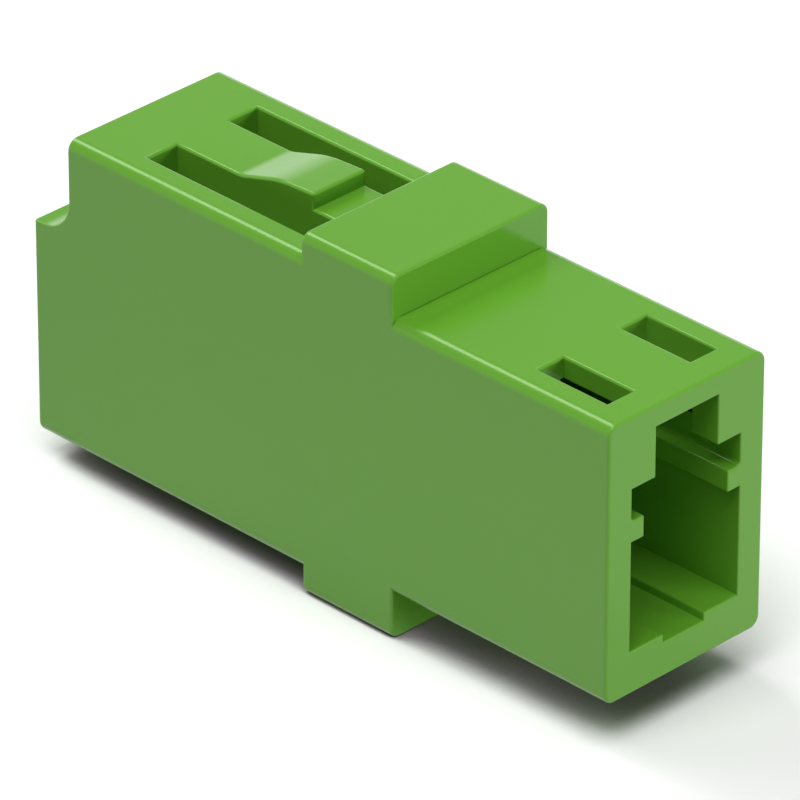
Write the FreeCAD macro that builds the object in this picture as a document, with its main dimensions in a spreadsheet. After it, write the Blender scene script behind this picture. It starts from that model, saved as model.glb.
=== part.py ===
import FreeCAD, Part
import os
import Sketcher

# Simplex fibre adapter, in millimetres.
# The origin is the middle of the alignment sleeve, where the two fibre ends meet.
# +X runs along the fibre axis out of the front port, +Y across the body, +Z towards the latch side.
# Distances called reach, top or bottom are measured from the origin, so they are all positive.

SIZES = [
    # outside of the housing
    ("body_width", 6.52),
    ("front_reach", 12.05),  # front face
    ("front_top", 5.68),
    ("front_bottom", 3.66),
    ("rear_reach", 12.00),  # rear face
    ("rear_top", 6.35),
    ("rear_bottom", 4.36),
    ("collar_front", 3.29),  # front face of the collar that stops on the panel
    ("collar_back", 0.48),  # its rear face, behind the origin
    ("collar_rise", 0.75),  # how far the collar stands over the rear body's top
    ("collar_drop", 0.84),  # and under its bottom
    ("ledge_length", 1.55),  # step at the top of the rear end
    ("ledge_top", 3.05),
    ("ledge_blend", 1.20),  # hollow radius between the step and the wall above it
    ("body_edge_radius", 0.38),  # long edges of the front and rear bodies
    ("collar_edge_radius", 0.34),  # long edges of the collar
    # ports, each for a square plug whose top corners are stepped
    ("port_width", 4.54),
    ("port_floor", 2.21),
    ("port_roof", 2.20),  # top of the plug's body
    ("lug_roof", 3.26),  # top of the space that the plug's latch lugs pass through
    ("rib_height", 0.72),
    ("rib_depth", 0.52),
    ("groove_width", 1.70),
    ("groove_depth", 0.27),
    ("channel_width", 2.60),  # for the narrow lever of the plug's latch
    ("channel_top", 4.94),
    ("lip_thickness", 1.07),  # what the lugs snap behind
    ("window_length", 2.73),
    ("window_inner", 1.20),
    ("window_outer", 2.25),
    # middle wall, which carries the sleeve holders
    ("wall_thickness", 1.60),
    ("wall_bore", 3.46),
    ("flange_thickness", 1.10),
    ("flange_fit", 0.04),  # gap between a flange and the port walls
    ("spigot_fit", 0.03),  # gap round a holder's spigot in the wall
    ("tube_outer", 2.90),
    ("tube_end_wall", 0.35),
    ("entry_bore", 1.40),  # narrow end of the funnel that the ferrule goes in by
    ("entry_mouth", 2.10),
    # split alignment sleeve
    ("sleeve_bore", 1.25),
    ("sleeve_outer", 1.62),
    ("sleeve_length", 6.80),
    ("sleeve_slit", 0.20),
    ("sleeve_fit", 0.06),  # play round the sleeve
    ("sleeve_end_play", 0.05),
    # panel latch
    ("latch_width", 2.16),
    ("latch_root", 7.98),  # behind the origin
    ("latch_root_gap", 0.02),  # lets it turn at its root
    ("latch_tip_gap", 0.20),  # between its tip and the collar
    ("latch_pocket_width", 4.52),  # over both slots
    ("panel_gap", 1.66),  # between the nose and the collar
    ("nose_height", 0.57),
    ("nose_foot", 0.04),  # height of the shelf in front of the nose
    ("crest_back", 1.51),  # behind the nose, where the ramp ends
    ("crest_height", 0.49),
    ("ramp_back", 3.11),  # behind the nose, where the ramp starts
    ("ramp_hollow", 1.20),
    ("ramp_crown", 4.00),
]

TINY = 1e-4  # for matching edges by their place

doc = FreeCAD.newDocument("fibre_adapter")
sheet = doc.addObject("Spreadsheet::Sheet", "Sizes")
for row, (alias, value) in enumerate(SIZES, start=1):
    sheet.set(f"A{row}", alias)
    sheet.set(f"B{row}", str(value))
    sheet.setAlias(f"B{row}", alias)
doc.recompute()


def size(alias):
    """The sheet's value, for picking edges."""
    return float(sheet.get(alias))


def cells(expression):
    """The expression with each alias written as the sheet's cell."""
    aliases = {alias for alias, value in SIZES}
    words = []
    for word in expression.split():
        bare = word.strip("()-")
        words.append(word.replace(bare, "Sizes." + bare) if bare in aliases else word)
    return " ".join(words)


def new_body(label):
    body = doc.addObject("PartDesign::Body", label)
    body.Label = label
    return body


def new_sketch(body, name, plane, offset=None):
    """A sketch on one of the body's own planes, moved along the plane's normal by an expression."""
    sketch = body.newObject("Sketcher::SketchObject", name)
    support = [feature for feature in body.Origin.OriginFeatures if feature.Role == plane][0]
    sketch.AttachmentSupport = [(support, "")]
    sketch.MapMode = "FlatFace"
    if offset:
        sketch.setExpression(".AttachmentOffset.Base.z", cells(offset))
    return sketch


def bind(sketch, kind, *geometry, value):
    """A dimension of the sketch that follows an expression."""
    expression = cells(value)
    index = sketch.addConstraint(Sketcher.Constraint(kind, *geometry, sketch.evalExpression(expression)))
    sketch.setExpression(f"Constraints[{index}]", expression)


def add_outline(sketch, corners):
    """A closed outline of straight edges, with both coordinates of every corner bound to the sheet."""
    points = []
    for across, up in corners:
        points.append(
            FreeCAD.Vector(sketch.evalExpression(cells(across)), sketch.evalExpression(cells(up)), 0)
        )
    first = sketch.GeometryCount
    count = len(points)
    for i, point in enumerate(points):
        sketch.addGeometry(Part.LineSegment(point, points[(i + 1) % count]), False)
    for i in range(count):
        after = first + (i + 1) % count
        sketch.addConstraint(Sketcher.Constraint("Coincident", first + i, 2, after, 1))
    for i, (across, up) in enumerate(corners):
        bind(sketch, "DistanceX", -1, 1, first + i, 1, value=across)
        bind(sketch, "DistanceY", -1, 1, first + i, 1, value=up)


def add_circle(sketch, diameter):
    """A circle about the fibre axis."""
    radius = sketch.evalExpression(cells(diameter)) / 2
    circle = sketch.addGeometry(Part.Circle(FreeCAD.Vector(0, 0, 0), FreeCAD.Vector(0, 0, 1), radius), False)
    sketch.addConstraint(Sketcher.Constraint("Coincident", circle, 3, -1, 1))
    bind(sketch, "Diameter", circle, value=diameter)


def rectangle(left, right, low, high):
    return [(left, low), (right, low), (right, high), (left, high)]


def pad(body, sketch, length, symmetric=False, reverse=False):
    """Extrudes the sketch along its normal, or half each way."""
    feature = body.newObject("PartDesign::Pad", sketch.Name + "_pad")
    feature.Profile = sketch
    feature.SideType = "Symmetric" if symmetric else "One side"
    feature.Reversed = reverse
    feature.setExpression("Length", cells(length))
    doc.recompute()
    return feature


def recompute_cut(body, feature):
    """Makes the cut, and makes sure that it took material away."""
    before = feature.BaseFeature.Shape.Volume
    doc.recompute()
    if body.Shape.Volume > before - TINY:
        raise RuntimeError(f"{feature.Name} cuts nothing")


def pocket(body, sketch, length, symmetric=False, reverse=False):
    """Cuts the sketch against its normal, or half each way."""
    feature = body.newObject("PartDesign::Pocket", sketch.Name + "_cut")
    feature.Profile = sketch
    feature.SideType = "Symmetric" if symmetric else "One side"
    feature.Reversed = reverse
    feature.setExpression("Length", cells(length))
    recompute_cut(body, feature)
    return feature


def groove(body, sketch):
    """Cuts the sketch all the way round its own horizontal axis."""
    feature = body.newObject("PartDesign::Groove", sketch.Name + "_cut")
    feature.Profile = sketch
    feature.ReferenceAxis = (sketch, ["H_Axis"])
    feature.Angle = 360
    recompute_cut(body, feature)
    return feature


def dress(body, kind, name, measure, length, wanted):
    """A fillet or a chamfer on the edges that the test picks."""
    feature = body.newObject("PartDesign::" + kind, name)
    base = body.Tip if body.Tip is not feature else feature.BaseFeature
    picked = []
    for number, edge in enumerate(base.Shape.Edges, start=1):
        if wanted(edge):
            picked.append(f"Edge{number}")
    if not picked:
        raise RuntimeError(f"{name} found no edge")
    feature.Base = (base, picked)
    feature.setExpression(measure, cells(length))
    doc.recompute()
    return feature


def near(value, target):
    return abs(value - target) < TINY


def runs_along(edge, axis):
    """True for a straight edge that is parallel to the axis."""
    if edge.Curve.TypeId != "Part::GeomLine":
        return False
    direction = edge.tangentAt(edge.FirstParameter)
    return near(abs(direction.dot(axis)), 1)


ALONG_X = FreeCAD.Vector(1, 0, 0)
ALONG_Y = FreeCAD.Vector(0, 1, 0)


def keyed_outline(gap=None):
    """The square port or flange, with its two top corners stepped in. A gap makes it that much smaller."""
    less = f" - {gap}" if gap else ""
    wall = f"port_width / 2{less}"
    step = f"port_width / 2 - rib_depth{less}"
    floor = f"-port_floor{less.replace('-', '+')}"
    shoulder = f"port_roof - rib_height{less}"
    roof = f"port_roof{less}"
    right = [(wall, floor), (wall, shoulder), (step, shoulder), (step, roof)]
    left = [(f"-({across})", up) for across, up in reversed(right)]
    return right + left


def floor_groove():
    """The shallow groove along the middle of a port's floor."""
    half = "groove_width / 2"
    return rectangle(f"-({half})", half, "-port_floor - groove_depth", "-port_floor")


def build_housing():
    """The one-piece moulding: its side outline, then the ports, windows and latch pocket cut into it."""
    body = new_body("housing")
    outline_housing(body)
    round_long_edges(body)
    cut_port(body, "front", "front_reach", reverse=False)
    cut_port(body, "rear", "-rear_reach", reverse=True)
    cut_front_latch_space(body)
    cut_lug_windows(body)
    cut_latch_pocket(body)
    cut_wall_bore(body)
    return body


def outline_housing(body):
    """The stepped side outline, extruded over the width, because all the side faces are flush."""
    sketch = new_sketch(body, "side_outline", "XZ_Plane")
    add_outline(
        sketch,
        [
            ("front_reach", "-front_bottom"),
            ("front_reach", "front_top"),
            ("collar_front", "front_top"),
            ("collar_front", "rear_top + collar_rise"),
            ("-collar_back", "rear_top + collar_rise"),
            ("-collar_back", "rear_top"),
            ("ledge_length - rear_reach", "rear_top"),
            ("ledge_length - rear_reach", "ledge_top"),
            ("-rear_reach", "ledge_top"),
            ("-rear_reach", "-rear_bottom"),
            ("-collar_back", "-rear_bottom"),
            ("-collar_back", "-rear_bottom - collar_drop"),
            ("collar_front", "-rear_bottom - collar_drop"),
            ("collar_front", "-front_bottom"),
        ],
    )
    pad(body, sketch, "body_width", symmetric=True)

    def in_notch(edge):
        middle = edge.CenterOfMass
        at_wall = near(middle.x, size("ledge_length") - size("rear_reach"))
        return runs_along(edge, ALONG_Y) and at_wall and near(middle.z, size("ledge_top"))

    dress(body, "Fillet", "ledge_hollow", "Radius", "ledge_blend", in_notch)


def round_long_edges(body):
    """Rounds the edges that run along the body. They run out against the collar's faces."""
    half_width = size("body_width") / 2
    collar_top = size("rear_top") + size("collar_rise")
    collar_bottom = size("rear_bottom") + size("collar_drop")

    def on_collar(edge):
        middle = edge.CenterOfMass
        inside = -size("collar_back") < middle.x < size("collar_front")
        top_or_bottom = near(middle.z, collar_top) or near(middle.z, -collar_bottom)
        return runs_along(edge, ALONG_X) and near(abs(middle.y), half_width) and inside and top_or_bottom

    def on_body(edge):
        middle = edge.CenterOfMass
        levels = [size("front_top"), -size("front_bottom"), size("rear_top"), -size("rear_bottom")]
        at_level = any(near(middle.z, level) for level in levels)
        return runs_along(edge, ALONG_X) and near(abs(middle.y), half_width) and at_level

    dress(body, "Fillet", "collar_rounding", "Radius", "collar_edge_radius", on_collar)
    dress(body, "Fillet", "body_rounding", "Radius", "body_edge_radius", on_body)


def cut_port(body, name, face, reverse):
    """A keyed square port with a grooved floor, from an end face to the middle wall."""
    reach = face.strip("-")
    depth = f"{reach} - wall_thickness / 2"
    port = new_sketch(body, name + "_port", "YZ_Plane", face)
    add_outline(port, keyed_outline())
    pocket(body, port, depth, reverse=reverse)
    groove = new_sketch(body, name + "_groove", "YZ_Plane", face)
    add_outline(groove, floor_groove())
    pocket(body, groove, depth, reverse=reverse)


def cut_front_latch_space(body):
    """Room over the front plug for its latch lugs, and the narrow channel for its lever.
    The channel goes on under the collar and forms the underside of the panel latch."""
    lugs = new_sketch(body, "lug_space", "YZ_Plane", "front_reach")
    half = "port_width / 2"
    add_outline(lugs, rectangle(f"-({half})", half, "port_roof", "lug_roof"))
    pocket(body, lugs, "front_reach - wall_thickness / 2")
    channel = new_sketch(body, "lever_channel", "YZ_Plane", "front_reach")
    half = "channel_width / 2"
    add_outline(channel, rectangle(f"-({half})", half, "lug_roof", "channel_top"))
    pocket(body, channel, "front_reach + collar_back + panel_gap")


def cut_lug_windows(body):
    """Two windows in the front roof. Their front edges are the lips that the lugs snap behind."""
    sketch = new_sketch(body, "lug_windows", "XY_Plane", "front_top")
    front = "front_reach - lip_thickness"
    back = "front_reach - lip_thickness - window_length"
    add_outline(sketch, rectangle(back, front, "window_inner", "window_outer"))
    add_outline(sketch, rectangle(back, front, "-window_outer", "-window_inner"))
    pocket(body, sketch, "front_top - lug_roof")


def cut_latch_pocket(body):
    """The hollow round the panel latch, open at the top as its two slots."""
    sketch = new_sketch(body, "latch_pocket", "XY_Plane", "rear_top")
    half = "latch_pocket_width / 2"
    add_outline(sketch, rectangle("-latch_root", "-collar_back", f"-({half})", half))
    pocket(body, sketch, "rear_top - lug_roof")


def cut_wall_bore(body):
    """The round hole in the middle wall for the holders' spigots."""
    sketch = new_sketch(body, "wall_hole", "YZ_Plane")
    add_circle(sketch, "wall_bore")
    pocket(body, sketch, "wall_thickness * 2", symmetric=True)


def build_panel_latch():
    """The tongue that snaps behind the panel: a side outline with a ramp, a nose and a shelf."""
    body = new_body("panel_latch")
    nose = "-collar_back - panel_gap"
    sketch = new_sketch(body, "latch_outline", "XZ_Plane")
    add_outline(
        sketch,
        [
            ("-latch_root + latch_root_gap", "channel_top"),
            ("-collar_back - latch_tip_gap", "channel_top"),
            ("-collar_back - latch_tip_gap", "rear_top + nose_foot"),
            (nose, "rear_top + nose_foot"),
            (nose, "rear_top + nose_height"),
            (f"{nose} - crest_back", "rear_top + crest_height"),
            (f"{nose} - ramp_back", "rear_top"),
            ("-latch_root + latch_root_gap", "rear_top"),
        ],
    )
    pad(body, sketch, "latch_width", symmetric=True)
    nose_x = -size("collar_back") - size("panel_gap")

    def at(edge, x, z):
        middle = edge.CenterOfMass
        return runs_along(edge, ALONG_Y) and near(middle.x, x) and near(middle.z, z)

    def at_ramp_start(edge):
        return at(edge, nose_x - size("ramp_back"), size("rear_top"))

    def at_crest(edge):
        return at(edge, nose_x - size("crest_back"), size("rear_top") + size("crest_height"))

    dress(body, "Fillet", "hollow_of_ramp", "Radius", "ramp_hollow", at_ramp_start)
    dress(body, "Fillet", "crown_of_ramp", "Radius", "ramp_crown", at_crest)
    return body


def build_sleeve_holder(name, front):
    """A keyed flange with a tube towards the plug and a spigot in the middle wall.
    It is bored for the sleeve, and a funnel in its end lets the ferrule in."""
    body = new_body(name)
    sign = "" if front else "-"
    flange = new_sketch(body, name + "_flange", "YZ_Plane", f"{sign}wall_thickness / 2")
    add_outline(flange, keyed_outline("flange_fit"))
    pad(body, flange, "flange_thickness", reverse=not front)
    tube = new_sketch(body, name + "_tube", "YZ_Plane")
    add_circle(tube, "tube_outer")
    depth = "sleeve_length / 2 + sleeve_end_play"
    reach = f"{depth} + tube_end_wall"
    pad(body, tube, reach, reverse=not front)
    spigot = new_sketch(body, name + "_spigot", "YZ_Plane")
    add_circle(spigot, "wall_bore - 2 * spigot_fit")
    pad(body, spigot, "wall_thickness / 2", reverse=not front)
    seat = new_sketch(body, name + "_seat", "YZ_Plane")
    add_circle(seat, "sleeve_outer + 2 * sleeve_fit")
    pocket(body, seat, depth, reverse=front)
    funnel = new_sketch(body, name + "_funnel", "XZ_Plane")
    narrow, wide = f"{sign}({depth})", f"{sign}({reach})"
    add_outline(funnel, [(narrow, "0"), (wide, "0"), (wide, "entry_mouth / 2"), (narrow, "entry_bore / 2")])
    groove(body, funnel)
    return body


def build_alignment_sleeve():
    """The split tube that grips both ferrules. Its slit faces the latch side."""
    body = new_body("alignment_sleeve")
    ring = new_sketch(body, "sleeve_ring", "YZ_Plane")
    add_circle(ring, "sleeve_outer")
    add_circle(ring, "sleeve_bore")
    pad(body, ring, "sleeve_length", symmetric=True)
    slit = new_sketch(body, "sleeve_slit_outline", "YZ_Plane")
    half = "sleeve_slit / 2"
    add_outline(slit, rectangle(f"-({half})", half, "sleeve_bore / 4", "sleeve_outer"))
    pocket(body, slit, "sleeve_length * 2", symmetric=True)
    return body


def check(parts):
    """Stops on any failed feature and on any sub-part that isn't one valid solid."""
    for item in doc.Objects:
        if "Invalid" in item.State or "Error" in item.State:
            raise RuntimeError(f"{item.Name} failed: {item.State}")
    for part in parts:
        shape = part.Shape
        if shape.isNull() or not shape.isValid() or len(shape.Solids) != 1:
            raise RuntimeError(f"{part.Label} is not one valid solid")


def main():
    parts = [
        build_housing(),
        build_panel_latch(),
        build_sleeve_holder("sleeve_holder_front", front=True),
        build_sleeve_holder("sleeve_holder_rear", front=False),
        build_alignment_sleeve(),
    ]
    doc.recompute()
    check(parts)
    os.makedirs("parts", exist_ok=True)
    for part in parts:
        part.Shape.exportStep(f"parts/{part.Label}.step")
        box = part.Shape.BoundBox
        print(f"{part.Label}: {part.Shape.Volume:.2f} mm3, x {box.XMin:.2f} to {box.XMax:.2f}, "
              f"y {box.YMin:.2f} to {box.YMax:.2f}, z {box.ZMin:.2f} to {box.ZMax:.2f}")


main()
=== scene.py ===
import math

import bmesh
import bpy
from mathutils import Matrix, Vector


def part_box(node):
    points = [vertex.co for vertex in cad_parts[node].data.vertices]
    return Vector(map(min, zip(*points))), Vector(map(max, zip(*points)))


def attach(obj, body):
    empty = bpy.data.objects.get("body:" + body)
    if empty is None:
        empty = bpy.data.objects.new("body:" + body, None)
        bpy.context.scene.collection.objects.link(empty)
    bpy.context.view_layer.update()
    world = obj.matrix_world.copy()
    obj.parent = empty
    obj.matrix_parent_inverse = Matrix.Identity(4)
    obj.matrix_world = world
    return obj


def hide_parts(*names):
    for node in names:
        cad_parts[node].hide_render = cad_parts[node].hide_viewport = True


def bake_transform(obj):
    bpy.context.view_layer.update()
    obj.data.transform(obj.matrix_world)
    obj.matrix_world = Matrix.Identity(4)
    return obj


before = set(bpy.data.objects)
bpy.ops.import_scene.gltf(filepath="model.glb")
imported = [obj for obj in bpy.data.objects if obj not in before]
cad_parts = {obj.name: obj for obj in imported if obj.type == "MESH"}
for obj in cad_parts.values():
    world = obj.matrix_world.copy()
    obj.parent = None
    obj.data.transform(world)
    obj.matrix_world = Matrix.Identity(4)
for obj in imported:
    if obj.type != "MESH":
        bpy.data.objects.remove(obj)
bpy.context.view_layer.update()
print("frame loaded")

# The origin is the middle of the sleeve, x runs out of the front port and z to the latch side.
# Pieces are drawn in millimetres and scaled to metres when they are done.
mm = 0.001
beyond = 20  # tools reach this far, which is past the body on every side


def cadCorners(node):
    # a node's lowest and highest corner in millimetres
    return [[round(value / mm, 4) for value in corner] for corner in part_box(node)]


def roundedCorner(before, corner, after, radius, steps):
    corner = Vector(corner)
    toBefore = (Vector(before) - corner).normalized()
    toAfter = (Vector(after) - corner).normalized()
    half = toBefore.angle(toAfter) / 2
    centre = corner + (toBefore + toAfter).normalized() * radius / math.sin(half)
    start = corner + toBefore * radius / math.tan(half) - centre
    end = corner + toAfter * radius / math.tan(half) - centre
    sweep = start.angle_signed(end)
    points = []
    for i in range(steps + 1):
        point = centre + Matrix.Rotation(-sweep * i / steps, 2) @ start
        points.append((round(point.x, 5), round(point.y, 5)))  # so that flush faces are exactly flush
    return points


def outline(corners, steps=8):
    # a corner is (across, up) or (across, up, radius)
    points = []
    for i, corner in enumerate(corners):
        if len(corner) == 2:
            points.append(tuple(corner))
        else:
            after = corners[(i + 1) % len(corners)]
            points += roundedCorner(corners[i - 1][:2], corner[:2], after[:2], corner[2], steps)
    return points


def near(value, *targets):
    return any(abs(value - target) < 0.01 for target in targets)


def circle(radius, steps=48):
    turns = [2 * math.pi * (i + 0.5) / steps for i in range(steps)]
    return [(radius * math.cos(turn), radius * math.sin(turn)) for turn in turns]


def mirrored(right):
    return right + [(-corner[0], *corner[1:]) for corner in reversed(right)]


def solid(name, vertices, faces):
    mesh = bpy.data.meshes.new(name)
    mesh.from_pydata(vertices, [], faces)
    work = bmesh.new()
    work.from_mesh(mesh)
    bmesh.ops.recalc_face_normals(work, faces=work.faces)
    work.to_mesh(mesh)
    work.free()
    obj = bpy.data.objects.new(name, mesh)
    bpy.context.scene.collection.objects.link(obj)
    return obj


def skin(name, rings):
    # joins rings of points, all of one length, and closes both ends
    count = len(rings[0])
    vertices = [point for ring in rings for point in ring]
    last = len(vertices) - count
    faces = [list(range(count)), list(range(last + count - 1, last - 1, -1))]
    for start in range(0, last, count):
        for i in range(count):
            j = (i + 1) % count
            faces.append([start + i, start + j, start + count + j, start + count + i])
    return solid(name, vertices, faces)


def prism(name, points, along, low, high):
    # the outline lies across the axis that it is extruded along
    place = {
        "x": lambda u, v, w: (w, u, v),
        "y": lambda u, v, w: (u, w, v),
        "z": lambda u, v, w: (u, v, w),
    }[along]
    return skin(name, [[place(u, v, w) for u, v in points] for w in (low, high)])


def roundedBar(name, back, front, halfWidth, bottom, top, edge, endEdge):
    # a bar along x, with one radius on its long edges and a smaller one round its ends
    rings = []
    steps = 4
    for i in range(steps + 1):
        turn = math.pi / 2 * i / steps
        rings.append((endEdge * (1 - math.sin(turn)), endEdge * (1 - math.cos(turn))))
    places = [(front - depth, inset) for depth, inset in rings[::-1]]
    places += [(back + depth, inset) for depth, inset in rings]
    sections = []
    for x, inset in places:
        w, radius = halfWidth - inset, edge - inset
        low, high = bottom + inset, top - inset
        corners = [(-w, low, radius), (w, low, radius), (w, high, radius), (-w, high, radius)]
        sections.append([(round(x, 5), y, z) for y, z in outline(corners)])
    return skin(name, sections)


def bake(obj):
    # the modifiers' result becomes the mesh
    graph = bpy.context.evaluated_depsgraph_get()
    mesh = bpy.data.meshes.new_from_object(obj.evaluated_get(graph))
    obj.modifiers.clear()
    obj.data = mesh
    return obj


def combine(target, tool, operation):
    # joins or cuts two solids, and deletes the second one
    modifier = target.modifiers.new("solid", "BOOLEAN")
    modifier.operation = operation
    modifier.solver = "EXACT"
    modifier.object = tool
    bake(target)
    bpy.data.objects.remove(tool)
    return target


def softenEdges(obj, radiusOf, sharpAngle=35):
    # puts a small radius on each sharp edge
    # radiusOf gives it from the edge's middle and from whether the edge stands out
    work = bmesh.new()
    work.from_mesh(obj.data)
    bmesh.ops.remove_doubles(work, verts=work.verts, dist=1e-4)
    bmesh.ops.dissolve_limit(work, angle_limit=math.radians(0.5), verts=work.verts, edges=work.edges)
    layer = work.edges.layers.float.new("bevel_weight_edge")
    widest = 0.2
    for edge in work.edges:
        if len(edge.link_faces) == 2 and edge.calc_face_angle() > math.radians(sharpAngle):
            middle = (edge.verts[0].co + edge.verts[1].co) / 2
            edge[layer] = radiusOf(middle, edge.is_convex) / widest
    work.to_mesh(obj.data)
    work.free()
    modifier = obj.modifiers.new("soft edges", "BEVEL")
    modifier.limit_method = "WEIGHT"
    modifier.width = widest
    modifier.segments = 4
    modifier.use_clamp_overlap = False
    modifier.miter_outer = "MITER_SHARP"
    return bake(obj)


def finishShape(obj, smoothAngle=40):
    # flat faces stay flat, rounded edges shade smoothly, and the piece gets its real size
    for polygon in obj.data.polygons:
        polygon.use_smooth = True
    obj.data.set_sharp_from_angle(angle=math.radians(smoothAngle))
    modifier = obj.modifiers.new("even shading", "WEIGHTED_NORMAL")
    modifier.keep_sharp = True
    bake(obj)
    obj.data.transform(Matrix.Scale(mm, 4))
    return obj


portSizes = {
    "halfWidth": 2.27,
    "floor": 2.21,
    "roof": 2.2,
    "lugRoof": 3.26,  # over the space that the plug's latch lugs pass through
    "ribHeight": 0.72,
    "ribDepth": 0.52,
    "ribHollow": 0.14,
    "grooveHalf": 0.85,
    "grooveDepth": 0.27,
    "channelHalf": 1.3,  # for the lever of the plug's latch
    "channelTop": 4.94,
    "wall": 0.8,  # half of the wall between the ports
    "wallHole": 1.73,
    "mouthEdge": 0.05,
}

latchSizes = {
    "halfWidth": 1.08,
    "root": -7.98,
    "split": -7.6,  # where the moving piece starts
    "pocketHalf": 2.26,
    "nose": -2.14,
    "noseHeight": 0.57,
    "shelfHeight": 0.04,
    "crestBack": 1.51,
    "crestHeight": 0.49,
    "rampBack": 3.11,
    "rampHollow": 1.2,
    "rampCrown": 4.0,
    "edge": 0.11,
    "lowerEdge": 0.05,
    "bendLength": 3.0,
    "bendStep": 0.25,
}

housingSizes = {
    "frontTop": 5.68,
    "frontBottom": -3.66,
    "rearTop": 6.35,
    "rearBottom": -4.36,
    "collarFront": 3.29,
    "collarBack": -0.48,
    "ledgeLength": 1.55,
    "ledgeTop": 3.05,
    "ledgeHollow": 1.2,
    "longEdge": 0.38,
    "collarEdge": 0.34,
    "endEdge": 0.1,
    "topEdge": 0.11,  # round the slots and windows
    "smallEdge": 0.05,
    "lip": 1.07,  # what the lugs snap behind
    "windowLength": 2.73,
    "windowInner": 1.2,
    "windowOuter": 2.25,
    "crease": 0.03,  # fine sharp line at the collar's foot
    "creaseHalf": 2.9,
}


def keyedSquare():
    # right half of a plug's section, up to the middle of its roof
    p = portSizes
    wall, step = p["halfWidth"], p["halfWidth"] - p["ribDepth"]
    shoulder = p["roof"] - p["ribHeight"]
    return [(wall, -p["floor"]), (wall, shoulder), (step, shoulder), (step, p["roof"])]


def housingBars(h, low, high):
    # the front body, the rear body and the collar, with their sides flush
    half = high[1]
    edge, end = h["longEdge"], h["endEdge"]
    front = roundedBar("housing", -2, high[0], half, h["frontBottom"], h["frontTop"], edge, end)
    rear = roundedBar("rear", low[0], 1.5, half, h["rearBottom"], h["rearTop"], edge, end)
    back, foot = h["collarBack"], h["collarFront"]
    collar = roundedBar("collar", back, foot, half, low[2], high[2], h["collarEdge"], end)
    combine(front, rear, "UNION")
    return combine(front, collar, "UNION")


def cutNotch(body, h, low):
    wall = low[0] + h["ledgeLength"]
    ledge = h["ledgeTop"]
    side = [(-beyond, ledge), (wall, ledge, h["ledgeHollow"]), (wall, beyond), (-beyond, beyond)]
    combine(body, prism("notch", outline(side, steps=12), "y", -beyond, beyond), "DIFFERENCE")


def cutPorts(body):
    p = portSizes
    slim, wide, lugRoof = p["channelHalf"], p["halfWidth"], p["lugRoof"]
    groove = [(p["grooveHalf"], -p["floor"] - p["grooveDepth"]), (p["grooveHalf"], -p["floor"])]
    top = [(wide, p["roof"], p["ribHollow"]), (wide, lugRoof), (slim, lugRoof), (slim, p["channelTop"])]
    front = outline(mirrored(groove + keyedSquare() + top), steps=5)
    combine(body, prism("frontPort", front, "x", p["wall"], beyond), "DIFFERENCE")
    rear = mirrored(groove + keyedSquare())
    combine(body, prism("rearPort", rear, "x", -beyond, -p["wall"]), "DIFFERENCE")
    channel = mirrored([(slim, lugRoof), (slim, p["channelTop"])])
    combine(body, prism("channel", channel, "x", latchSizes["nose"], p["wall"]), "DIFFERENCE")
    through = p["wall"] + 0.4
    combine(body, prism("wallHole", circle(p["wallHole"]), "x", -through, through), "DIFFERENCE")


def cutWindows(body, h, high):
    # the lugs snap behind the front edges of these
    near = high[0] - h["lip"]
    far = near - h["windowLength"]
    for side in (1, -1):
        inner, outer = side * h["windowInner"], side * h["windowOuter"]
        window = [(far, inner), (near, inner), (near, outer), (far, outer)]
        combine(body, prism("window", window, "z", portSizes["lugRoof"] - 0.3, beyond), "DIFFERENCE")


def cutLatchPocket(body, h):
    # the hollow round the latch, and the two slots that leave the root of the tongue
    t = latchSizes
    half, wide, far = t["halfWidth"], t["pocketHalf"], h["collarBack"]
    pocket = [(t["root"], -wide), (far, -wide), (far, wide), (t["root"], wide)]
    floor, roof = portSizes["lugRoof"], portSizes["channelTop"]
    combine(body, prism("pocket", pocket, "z", floor, roof), "DIFFERENCE")
    tongue = [(t["root"], half), (t["split"], half), (t["split"], -half), (t["root"], -half)]
    combine(body, prism("slots", pocket + tongue, "z", roof, beyond), "DIFFERENCE")


def cutCrease(body, h):
    size, half = h["crease"], h["creaseHalf"]
    back, front = h["collarFront"] - size / 2, h["collarFront"] + size
    low, top = h["frontTop"] - size / 2, h["frontTop"] + size / 2
    corners = [(back, low), (front, low), (front, top), (back, top)]
    combine(body, prism("crease", corners, "y", -half, half), "DIFFERENCE")


def makeHousing():
    h = housingSizes
    low, high = cadCorners("housing")
    body = housingBars(h, low, high)
    cutNotch(body, h, low)
    cutPorts(body)
    cutWindows(body, h, high)
    cutLatchPocket(body, h)
    cutCrease(body, h)

    def radiusOf(middle, standsOut):
        reach = 0.05
        atCrease = abs(middle.x - h["collarFront"]) < reach and abs(middle.z - h["frontTop"]) < reach
        if not standsOut or atCrease or near(middle.x, latchSizes["split"]):
            return 0
        onTop = near(middle.z, h["frontTop"], h["rearTop"])
        if onTop and not near(middle.x, low[0] + h["ledgeLength"]):
            return h["topEdge"]
        if near(middle.x, low[0], high[0]):
            return portSizes["mouthEdge"]
        return h["smallEdge"]

    softenEdges(body, radiusOf)
    finishShape(body)
    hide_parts("housing")
    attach(body, "adapter")
    return body


housing = makeHousing()
print("housing made,", len(housing.data.polygons), "faces")


def sliceAcross(obj, start, end, step):
    # extra loops across the piece, over the stretch where it would bend
    work = bmesh.new()
    work.from_mesh(obj.data)
    for i in range(1, math.ceil((end - start) / step)):
        everything = work.verts[:] + work.edges[:] + work.faces[:]
        place = (start + i * step, 0, 0)
        bmesh.ops.bisect_plane(work, geom=everything, plane_co=place, plane_no=(1, 0, 0))
    work.to_mesh(obj.data)
    work.free()


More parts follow.
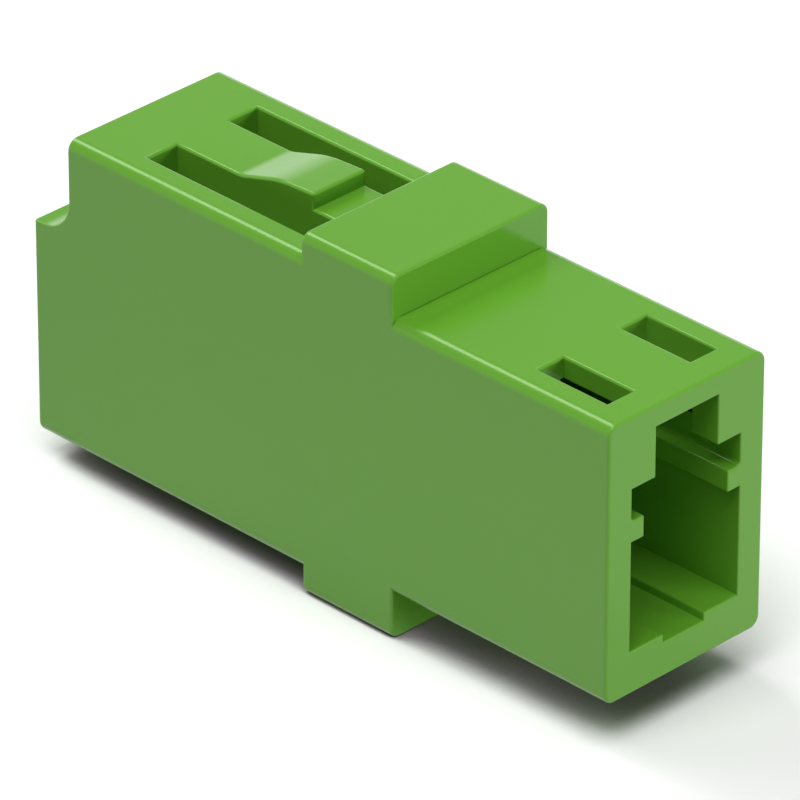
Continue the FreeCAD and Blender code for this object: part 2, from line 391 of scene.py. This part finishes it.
def makePanelLatch():
    t = latchSizes
    low, high = cadCorners("panel_latch")
    top = housingSizes["rearTop"]
    shelf = top + t["shelfHeight"]
    side = [
        (t["split"], low[2]),
        (high[0], low[2]),
        (high[0], shelf),
        (t["nose"], shelf),
        (t["nose"], top + t["noseHeight"]),
        (t["nose"] - t["crestBack"], top + t["crestHeight"], t["rampCrown"]),
        (t["nose"] - t["rampBack"], top, t["rampHollow"]),
        (t["split"], top),
    ]
    latch = prism("panelLatch", outline(side, steps=10), "y", low[1], high[1])

    def radiusOf(middle, standsOut):
        if not standsOut or near(middle.x, t["split"]):
            return 0
        return t["edge"] if middle.z > low[2] + 0.01 else t["lowerEdge"]

    softenEdges(latch, radiusOf)
    bendEnd = t["split"] + t["bendLength"]
    sliceAcross(latch, t["split"], bendEnd, t["bendStep"])
    finishShape(latch)
    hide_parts("panel_latch")
    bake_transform(latch)
    return latch


latch = makePanelLatch()
print("panel latch made,", len(latch.data.polygons), "faces")


class Wire:
    # a node's socket: sums on it add Math nodes, and make() adds any other node to its tree

    def __init__(self, tree, socket=None):
        self.tree = tree
        self.socket = socket

    def make(self, kind, settings=None, inputs=None, output=0):
        node = self.tree.nodes.new(kind)
        for name, value in (settings or {}).items():
            if name == "stops":
                self.setStops(node.color_ramp, value)
            else:
                setattr(node, name, value)
        for name, value in (inputs or {}).items():
            if isinstance(value, Wire):
                self.tree.links.new(value.socket, node.inputs[name])
            else:
                node.inputs[name].default_value = value
        return Wire(self.tree, node.outputs[output] if len(node.outputs) else None)

    def setStops(self, ramp, stops):
        for place, colour in stops[2:]:
            ramp.elements.new(place)
        for element, (place, colour) in zip(ramp.elements, stops):
            element.position = place
            element.color = colour

    def sum(self, operation, first, second):
        return self.make("ShaderNodeMath", {"operation": operation}, {0: first, 1: second})

    def __add__(self, other):
        return self.sum("ADD", self, other)

    def __radd__(self, other):
        return self.sum("ADD", other, self)

    def __sub__(self, other):
        return self.sum("SUBTRACT", self, other)

    def __rsub__(self, other):
        return self.sum("SUBTRACT", other, self)

    def __mul__(self, other):
        return self.sum("MULTIPLY", self, other)

    def __rmul__(self, other):
        return self.sum("MULTIPLY", other, self)


def newShapeTree(name, inputs):
    # a Geometry Nodes tree with named inputs; gives the tree and a wire for each input
    tree = bpy.data.node_groups.new(name, "GeometryNodeTree")
    tree.interface.new_socket("Geometry", in_out="INPUT", socket_type="NodeSocketGeometry")
    for label, kind in inputs.items():
        tree.interface.new_socket(label, in_out="INPUT", socket_type="NodeSocket" + kind)
    tree.interface.new_socket("Geometry", in_out="OUTPUT", socket_type="NodeSocketGeometry")
    entry = tree.nodes.new("NodeGroupInput")
    return Wire(tree), {socket.name: Wire(tree, socket) for socket in entry.outputs if socket.name}


def endShapeTree(start, shape, material):
    real = start.make("GeometryNodeRealizeInstances", None, {"Geometry": shape})
    painted = start.make("GeometryNodeSetMaterial", None, {"Geometry": real, "Material": material})
    start.make("NodeGroupOutput", None, {"Geometry": painted})


def turnedTree():
    # turns an open or full ring out of a closed profile, with its axis along x
    start, given = newShapeTree("turned part", {
        "Ring Radius": "Float",
        "Start": "Float",
        "Sweep": "Float",
        "Steps": "Int",
        "Split": "Bool",
        "Material": "Material",
    })
    profile = start.make("GeometryNodeMeshToCurve", None, {"Mesh": given["Geometry"]})
    arcInputs = {
        "Resolution": given["Steps"],
        "Radius": given["Ring Radius"],
        "Start Angle": given["Start"],
        "Sweep Angle": given["Sweep"],
    }
    arc = start.make("GeometryNodeCurveArc", {"mode": "RADIUS"}, arcInputs)
    ringInputs = {"Curve": arc, "Profile Curve": profile, "Fill Caps": given["Split"]}
    ring = start.make("GeometryNodeCurveToMesh", None, ringInputs)
    closed = start.make("GeometryNodeMergeByDistance", None, {"Geometry": ring, "Distance": 0.001})
    turn = (0, math.pi / 2, 0)
    lying = start.make("GeometryNodeTransform", None, {"Geometry": closed, "Rotation": turn})
    endShapeTree(start, lying, given["Material"])
    return start.tree


def pairTree():
    # a piece and the same piece turned round to face the other port
    start, given = newShapeTree("facing pair", {"Turn": "Float", "Material": "Material"})
    angles = start.make("ShaderNodeCombineXYZ", None, {"Z": given["Turn"]})
    turn = {"Geometry": given["Geometry"], "Rotation": angles}
    other = start.make("GeometryNodeTransform", None, turn)
    both = start.make("GeometryNodeJoinGeometry", None, {"Geometry": other})
    start.tree.links.new(given["Geometry"].socket, both.socket.node.inputs[0])
    endShapeTree(start, both, given["Material"])
    return start.tree


def runTree(obj, tree, values):
    modifier = obj.modifiers.new("shape", "NODES")
    modifier.node_group = tree
    for item in tree.interface.items_tree:
        if item.in_out == "INPUT" and item.name in values:
            modifier[item.identifier] = values[item.name]
    return bake(obj)


def turned(name, profile, ringRadius, start, sweep, steps, material):
    # the profile's corners are (along x, radius)
    points = [(radius - ringRadius, -along, 0) for along, radius in profile]
    count = len(points)
    mesh = bpy.data.meshes.new(name)
    mesh.from_pydata(points, [(i, (i + 1) % count) for i in range(count)], [])
    obj = bpy.data.objects.new(name, mesh)
    bpy.context.scene.collection.objects.link(obj)
    values = {
        "Ring Radius": ringRadius,
        "Start": start,
        "Sweep": sweep,
        "Steps": steps,
        "Split": sweep < 6.28,
        "Material": material,
    }
    return runTree(obj, turnedTree(), values)


def newMaterial(name):
    material = bpy.data.materials.new(name)
    material.use_nodes = True
    material.node_tree.nodes.clear()
    return material, Wire(material.node_tree)


def addNoise(start, place, scale, detail, stretch=(1, 1, 1)):
    spot = start.make("ShaderNodeMapping", None, {"Vector": place, "Scale": stretch})
    return start.make("ShaderNodeTexNoise", None, {"Vector": spot, "Scale": scale, "Detail": detail})


def mixColours(start, amount, first, second):
    inputs = {0: amount, 6: first, 7: second}
    return start.make("ShaderNodeMix", {"data_type": "RGBA"}, inputs, output=2)


def endMaterial(start, finish):
    shader = start.make("ShaderNodeBsdfPrincipled", None, finish)
    start.make("ShaderNodeOutputMaterial", None, {"Surface": shader})


greenSettings = {
    "deep": (0.119, 0.352, 0.0245, 1),
    "light": (0.126, 0.368, 0.0265, 1),
    "flowScale": 160,
    "flowStretch": (0.35, 1, 1),  # the melt ran along the body
    "grainScale": 7000,
    "grainDepth": 0.0004 * mm,
    "roughness": 0.19,
    "roughnessSpread": 0.03,
    "refraction": 1.5,
    "shine": (0.8, 1, 0.7, 1),  # the pigment tints reflections a little
}


def greenPlastic():
    s = greenSettings
    material, start = newMaterial("green moulded plastic")
    place = start.make("ShaderNodeTexCoord", output=3)
    flow = addNoise(start, place, s["flowScale"], 3, s["flowStretch"])
    grain = addNoise(start, place, s["grainScale"], 2)
    tint = mixColours(start, flow, s["deep"], s["light"])
    rough = s["roughness"] + (flow + grain - 1) * s["roughnessSpread"]
    bump = start.make("ShaderNodeBump", None, {"Height": grain, "Distance": s["grainDepth"]})
    endMaterial(start, {
        "Base Color": tint,
        "Roughness": rough,
        "Normal": bump,
        "IOR": s["refraction"],
        "Specular Tint": s["shine"],
    })
    return material


whiteSettings = {
    "deep": (0.70, 0.68, 0.61, 1),
    "light": (0.78, 0.76, 0.69, 1),
    "cloudScale": 400,
    "grainScale": 9000,
    "grainDepth": 0.0015 * mm,
    "roughness": 0.42,
    "roughnessSpread": 0.1,
    "refraction": 1.48,
}


def whitePlastic():
    s = whiteSettings
    material, start = newMaterial("natural white plastic")
    place = start.make("ShaderNodeTexCoord", output=3)
    cloud = addNoise(start, place, s["cloudScale"], 4)
    grain = addNoise(start, place, s["grainScale"], 2)
    tint = mixColours(start, cloud, s["deep"], s["light"])
    rough = s["roughness"] + (grain - 0.5) * s["roughnessSpread"]
    bump = start.make("ShaderNodeBump", None, {"Height": grain, "Distance": s["grainDepth"]})
    endMaterial(start, {"Base Color": tint, "Roughness": rough, "Normal": bump, "IOR": s["refraction"]})
    return material


ceramicSettings = {
    "deep": (0.83, 0.82, 0.79, 1),
    "light": (0.88, 0.87, 0.84, 1),
    "cloudScale": 900,
    "ringScale": 4000,  # fine rings that grinding leaves
    "ringDepth": 0.0006 * mm,
    "roughness": 0.16,
    "roughnessSpread": 0.08,
    "refraction": 2.1,
}


def groundCeramic():
    s = ceramicSettings
    material, start = newMaterial("ground white ceramic")
    place = start.make("ShaderNodeTexCoord", output=3)
    cloud = addNoise(start, place, s["cloudScale"], 3)
    rings = addNoise(start, place, s["ringScale"], 1, (1, 0.02, 0.02))
    tint = mixColours(start, cloud, s["deep"], s["light"])
    rough = s["roughness"] + (rings - 0.5) * s["roughnessSpread"]
    bump = start.make("ShaderNodeBump", None, {"Height": rings, "Distance": s["ringDepth"]})
    endMaterial(start, {"Base Color": tint, "Roughness": rough, "Normal": bump, "IOR": s["refraction"]})
    return material


green = greenPlastic()
for piece in (housing, latch):
    piece.data.materials.clear()
    piece.data.materials.append(green)
print("green plastic made")

holderSizes = {
    "spigot": 1.7,
    "flangeBack": 0.8,
    "flangeThickness": 1.1,
    "flangeGap": 0.04,
    "tube": 1.45,
    "tubeEdge": 0.14,
    "seat": 0.87,
    "seatDepth": 3.45,
    "entryBore": 0.7,
    "entryMouth": 1.05,
    "mouthEdge": 0.08,
    "flangeEdge": 0.07,
    "steps": 65,
}


def makeHolders():
    # both holders are one piece here, because they are alike and never part
    s = holderSizes
    low, high = cadCorners("sleeve_holder_front")
    material = whitePlastic()
    profile = outline([
        (low[0], s["seat"]),
        (s["seatDepth"], s["seat"]),
        (s["seatDepth"], s["entryBore"]),
        (high[0], s["entryMouth"], s["mouthEdge"]),
        (high[0], s["tube"], s["tubeEdge"]),
        (s["flangeBack"], s["tube"]),
        (s["flangeBack"], s["spigot"]),
        (low[0], s["spigot"]),
    ], steps=5)
    holder = turned("sleeveHolders", profile, 1.2, 0, 2 * math.pi, s["steps"], material)
    gap = s["flangeGap"]
    plate = mirrored([(y - gap, z - gap if z > 0 else z + gap) for y, z in keyedSquare()])
    flange = prism("flange", plate, "x", s["flangeBack"], s["flangeBack"] + s["flangeThickness"])
    combine(flange, prism("flangeHole", circle(1.15), "x", 0, 4), "DIFFERENCE")
    combine(holder, flange, "UNION")

    def radiusOf(middle, standsOut):
        outside = max(abs(middle.y), abs(middle.z)) > s["tube"] + 0.2
        return s["flangeEdge"] if standsOut and outside and middle.x > s["flangeBack"] + 0.1 else 0

    softenEdges(holder, radiusOf)
    runTree(holder, pairTree(), {"Turn": math.pi, "Material": material})
    finishShape(holder, smoothAngle=32)
    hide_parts("sleeve_holder_front", "sleeve_holder_rear")
    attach(holder, "adapter")
    return holder


holders = makeHolders()
print("sleeve holders made,", len(holders.data.polygons), "faces")

sleeveSizes = {
    "bore": 0.625,
    "outer": 0.81,
    "slit": 0.2,
    "edge": 0.05,
    "steps": 64,
}


def makeSleeve():
    s = sleeveSizes
    low, high = cadCorners("alignment_sleeve")
    middle = (s["bore"] + s["outer"]) / 2
    profile = outline([
        (low[0], s["bore"], s["edge"]),
        (high[0], s["bore"], s["edge"]),
        (high[0], s["outer"], s["edge"]),
        (low[0], s["outer"], s["edge"]),
    ], steps=4)
    gap = s["slit"] / middle  # its angle, and the slit faces up
    start, sweep = math.pi + gap / 2, 2 * math.pi - gap
    sleeve = turned("alignmentSleeve", profile, middle, start, sweep, s["steps"], groundCeramic())
    finishShape(sleeve, smoothAngle=30)
    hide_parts("alignment_sleeve")
    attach(sleeve, "adapter")
    return sleeve


sleeve = makeSleeve()
print("alignment sleeve made,", len(sleeve.data.polygons), "faces")

studioSettings = {
    "floorSize": 1.6,
    "floorWhite": 0.52,  # what lights the object from below
    "floorSeen": 0.98,
    "shadowReach": 4 * mm,  # for camera rays the floor is painted darker, a painted shadow, where the object is this close over it
    "shadowFrom": 0.31,
    "shadowTo": 0.51,
    "paintedShadowTint": (0.36, 0.29, 0.36, 1),  # colour of the painted shadow under the object, paled against the object's green bounce light
    "roomLow": 1.0,  # what reflections show near the horizon
    "roomHigh": 0.4,  # and above it
    "roomFrom": 0.2,  # the heights between which it fades, 1 being straight up
    "roomTo": 0.55,
}

lamps = {
    # where each comes from, how many degrees wide it looks, its strength,
    # and whether reflections show it
    "key": ((0.195, -0.195, 0.961), 45, 1.7, True),
    "side": ((0.1, -0.56, 0.82), 40, 0.83, False),
    "front": ((0.86, 0.49, 0.14), 18, 1.5, False),
    "rear": ((-0.927, 0, 0.375), 40, 0.6, False),
    "left": ((-0.571, -0.231, 0.788), 30, 0.5, False),
    "strip": ((-0.612, 0.06, 0.788), 23, 0.68, True),
    "glow": ((-0.74, 0.66, 0.13), 26, 0.07, True),
}


def addLamp(name, source, angle, strength, shows):
    # far away and as wide as its angle, so the floor is lit evenly
    light = bpy.data.lights.new(name, "SUN")
    light.energy = strength
    light.angle = math.radians(angle)
    lamp = bpy.data.objects.new(name, light)
    bpy.context.scene.collection.objects.link(lamp)
    lamp.rotation_euler = Vector(source).to_track_quat("Z", "Y").to_euler()
    lamp.visible_glossy = shows


def seenRays(start):
    # one for rays from the camera, from reflections and through clear parts
    camera = start.make("ShaderNodeLightPath")
    glossy = Wire(start.tree, camera.socket.node.outputs["Is Glossy Ray"])
    through = Wire(start.tree, camera.socket.node.outputs["Is Transmission Ray"])
    return camera, glossy + through


def makeFloor():
    s = studioSettings
    level = cadCorners("housing")[0][2] * mm  # the object stands on its collar
    half = s["floorSize"] / 2
    corners = [(-half, -half, level), (half, -half, level), (half, half, level), (-half, half, level)]
    mesh = bpy.data.meshes.new("floor")
    mesh.from_pydata(corners, [], [[0, 1, 2, 3]])
    floor = bpy.data.objects.new("floor", mesh)
    bpy.context.scene.collection.objects.link(floor)
    material, start = newMaterial("white floor")
    camera, reflected = seenRays(start)
    # painted shadow: ambient occlusion darkens the floor's colour under the object for camera rays
    around = {"Distance": s["shadowReach"]}
    sky = start.make("ShaderNodeAmbientOcclusion", {"samples": 16}, around, output=1)
    reach = {"From Min": s["shadowFrom"], "From Max": s["shadowTo"]}
    paintedShadowAmount = start.make("ShaderNodeMapRange", None, {"Value": sky, **reach})
    seen = s["floorSeen"]
    white = s["floorWhite"] + (seen - s["floorWhite"]) * (camera + reflected)
    plain = start.make("ShaderNodeCombineColor", None, {"Red": white, "Green": white, "Blue": white})
    # the floor's colour with the painted shadow, which the camera sees
    shaded = mixColours(start, paintedShadowAmount, s["paintedShadowTint"], (seen, seen, seen, 1))
    tint = mixColours(start, camera, plain, shaded)
    shader = start.make("ShaderNodeBsdfDiffuse", None, {"Color": tint})
    start.make("ShaderNodeOutputMaterial", None, {"Surface": shader})
    mesh.materials.append(material)


def makeWorld():
    s = studioSettings
    world = bpy.data.worlds.new("studio")
    bpy.context.scene.world = world
    world.use_nodes = True
    world.node_tree.nodes.clear()
    start = Wire(world.node_tree)
    camera, reflected = seenRays(start)
    direction = start.make("ShaderNodeTexCoord")
    height = start.make("ShaderNodeSeparateXYZ", None, {"Vector": direction}, output=2)
    room = start.make("ShaderNodeMapRange", {"interpolation_type": "SMOOTHSTEP"}, {
        "Value": height,
        "From Min": s["roomFrom"],
        "From Max": s["roomTo"],
        "To Min": s["roomLow"],
        "To Max": s["roomHigh"],
    })
    strength = camera + reflected * room
    background = start.make("ShaderNodeBackground", None, {"Color": (1, 1, 1, 1), "Strength": strength})
    start.make("ShaderNodeOutputWorld", None, {"Surface": background})


cameraSettings = {
    "lens": 400.96,
    "sensorWidth": 36,
    "place": (162.33, -161.84, 133.21),
    "right": (0.70636133, 0.70785043, 0.00119858),
    "down": (0.35570829, -0.35349504, -0.86516638),
    "forward": (-0.61198471, 0.61154642, -0.50148349),
}


def makeCamera():
    s = cameraSettings
    data = bpy.data.cameras.new("camera")
    data.lens = s["lens"]
    data.sensor_width = s["sensorWidth"]
    camera = bpy.data.objects.new("camera", data)
    bpy.context.scene.collection.objects.link(camera)
    right, down, forward = Vector(s["right"]), Vector(s["down"]), Vector(s["forward"])
    turn = Matrix((right, -down, -forward)).transposed()
    camera.matrix_world = Matrix.Translation(Vector(s["place"]) * mm) @ turn.to_4x4()
    bpy.context.scene.camera = camera


makeFloor()
makeWorld()
for name, values in lamps.items():
    addLamp(name, *values)
makeCamera()
bpy.context.scene.view_settings.view_transform = "Standard"
print("studio made")
